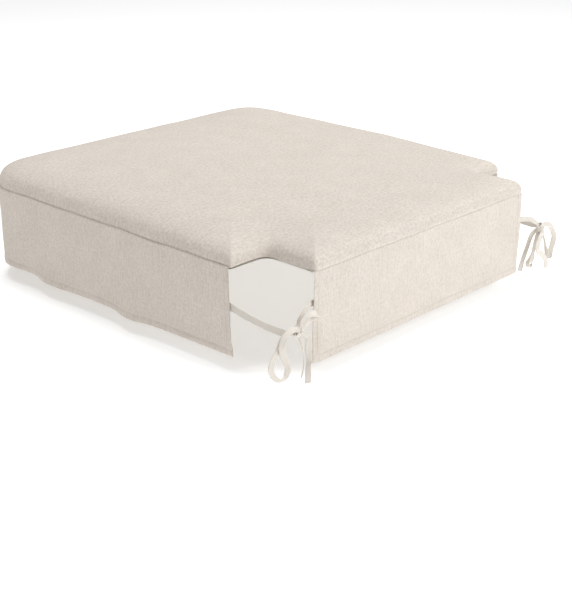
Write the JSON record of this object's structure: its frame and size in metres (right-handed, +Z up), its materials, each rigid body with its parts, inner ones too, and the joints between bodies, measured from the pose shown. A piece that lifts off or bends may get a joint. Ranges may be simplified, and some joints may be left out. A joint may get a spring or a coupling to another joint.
{
  "type": "chair seat pad",
  "caption": "Padded seat cushion with a fitted cloth cover, hanging side and back skirts, rear notches for the chair's posts and cloth tapes tied in bows.",
  "frame": {"origin": "middle of the pad's width on its underside, the face that rests on the chair's seat, 234 mm in front of the rear seam", "axes": "+Z up; the seat's front is towards -Y and the posts towards +Y; +X is the sitter's left. The pad's own plan is a mirror image across the YZ plane; the two tied bows differ"},
  "size_m": [0.4814, 0.5048, 0.1401],
  "materials": {
    "cover_linen": "matte woven linen and cotton, natural ecru",
    "skirt_linen": "matte woven linen and cotton, natural ecru",
    "lining_calico": "matte plain-weave calico",
    "wadding": "soft matte polyester fibre",
    "foam": "matte open-cell polyurethane foam",
    "tie_tape": "matte folded self-fabric tape",
    "thread": "matte sewing thread"
  },
  "bodies": {
    "pad": {"top_cover": "cover_linen", "side_skirt": "skirt_linen", "underside_lining": "lining_calico", "wadding_wrap": "wadding", "foam_pad": "foam", "pad_seam_thread": "thread", "side_hem_thread": "thread", "left_side_tack": "thread", "right_side_tack": "thread", "left_back_tack": "thread", "right_back_tack": "thread", "left_side_tie": "tie_tape", "right_side_tie": "tie_tape", "left_back_tie": "tie_tape", "right_back_tie": "tie_tape", "left_knot": "tie_tape", "right_knot": "tie_tape", "left_loop_upper": "tie_tape"},
    "back_flap": {"back_skirt": "skirt_linen", "back_hem_thread": "thread"},
    "left_bow": {"left_loop_hanging": "tie_tape", "left_tail_long": "tie_tape", "left_tail_short": "tie_tape"},
    "right_bow": {"right_loop_hanging": "tie_tape", "right_loop_small": "tie_tape", "right_tail_front": "tie_tape", "right_tail_back": "tie_tape"}
  },
  "joints": [
    {"name": "back_flap_swing", "type": "hinge", "parent": "pad", "child": "back_flap", "pos_m": [0, 0.234, 0], "axis": [1, 0, 0], "range_deg": [0, 35]},
    {"name": "left_bow_swing", "type": "hinge", "parent": "pad", "child": "left_bow", "pos_m": [0.2048, 0.2405, -0.0478], "axis": [1, 0, 0], "range_deg": [0, 70]},
    {"name": "right_bow_swing", "type": "hinge", "parent": "pad", "child": "right_bow", "pos_m": [-0.21, 0.241, -0.0465], "axis": [1, 0, 0], "range_deg": [0, 70]}
  ]
}
